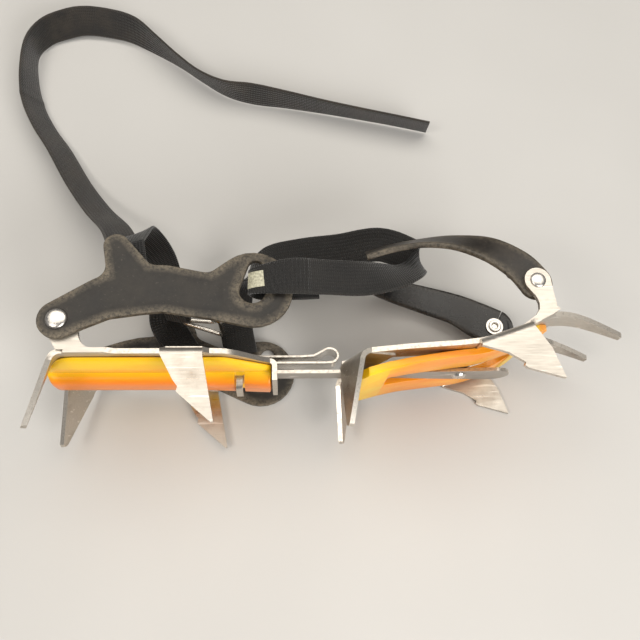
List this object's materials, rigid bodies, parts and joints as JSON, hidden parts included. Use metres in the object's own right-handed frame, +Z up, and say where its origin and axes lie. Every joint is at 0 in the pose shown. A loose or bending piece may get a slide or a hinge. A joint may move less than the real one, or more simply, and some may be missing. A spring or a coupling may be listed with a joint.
{
  "type": "strap crampon",
  "caption": "Adjustable strap crampon with toe and heel point frames, linking bar, antiball plates and boot harness.",
  "frame": {"origin": "centre of the underside of the crampon's box as it lies on its side, without the loose end of the strap", "axes": "+X from heel to toe, +Y from the points towards the boot, +Z up, across the sole"},
  "size_m": [0.3443, 0.2988, 0.0871],
  "materials": {
    "frame_steel": "satin",
    "bar_steel": "satin",
    "spring_steel": "semi-gloss",
    "rivet_steel": "satin",
    "antiball_plastic": "satin",
    "moulded_rubber": "satin",
    "webbing": "woven"
  },
  "bodies": {
    "heel_section": {"heel_frame": "frame_steel", "heel_antiball_plate": "antiball_plastic", "plate_clip": "frame_steel", "heel_rivet_near": "rivet_steel", "heel_rivet_far": "rivet_steel", "instep_webbing_front": "webbing", "instep_webbing_back": "webbing"},
    "toe_section": {"toe_frame": "frame_steel", "toe_antiball_plate": "antiball_plastic", "linking_bar": "bar_steel", "bar_rivet": "rivet_steel", "toe_rivet_near": "rivet_steel", "toe_rivet_far": "rivet_steel", "toe_washer_near": "rivet_steel", "toe_washer_far": "rivet_steel", "toe_strap_near": "moulded_rubber", "toe_strap_far": "moulded_rubber"},
    "adjuster": {"adjuster_lever": "spring_steel", "adjuster_pin": "spring_steel", "lever_rivet": "rivet_steel"},
    "heel_harness": {"heel_arm_near": "moulded_rubber", "heel_arm_far": "moulded_rubber", "heel_strap": "webbing", "buckle_keeper": "webbing", "webbing_tail": "webbing"},
    "ring_wide": {"buckle_ring_wide": "spring_steel"},
    "ring_narrow": {"buckle_ring_narrow": "spring_steel"}
  },
  "joints": [
    {"name": "length_adjust", "type": "slide", "parent": "heel_section", "child": "toe_section", "axis": [1, 0, 0], "range_m": [-0.007, 0.021], "deforming": ["toe_strap_near", "toe_strap_far"]},
    {"name": "adjuster_lift", "type": "hinge", "parent": "heel_section", "child": "adjuster", "pos_m": [-0.0809, -0.021, 0.0437], "axis": [0, 0, 1], "range_deg": [0, 8], "stiffness_Nm_per_rad": 1},
    {"name": "harness_swing", "type": "hinge", "parent": "heel_section", "child": "heel_harness", "pos_m": [-0.1314, -0.0091, 0.0437], "axis": [0, 0, 1], "range_deg": [-3, 15], "deforming": ["instep_webbing_front", "instep_webbing_back"]},
    {"name": "wide_ring_swing", "type": "hinge", "parent": "heel_harness", "child": "ring_wide", "pos_m": [-0.0849, 0.0137, 0.0257], "axis": [0, 0, 1], "range_deg": [-20, 0]},
    {"name": "narrow_ring_swing", "type": "hinge", "parent": "heel_harness", "child": "ring_narrow", "pos_m": [-0.0815, 0.0137, 0.0257], "axis": [0, 0, 1], "range_deg": [-25, 12]}
  ]
}
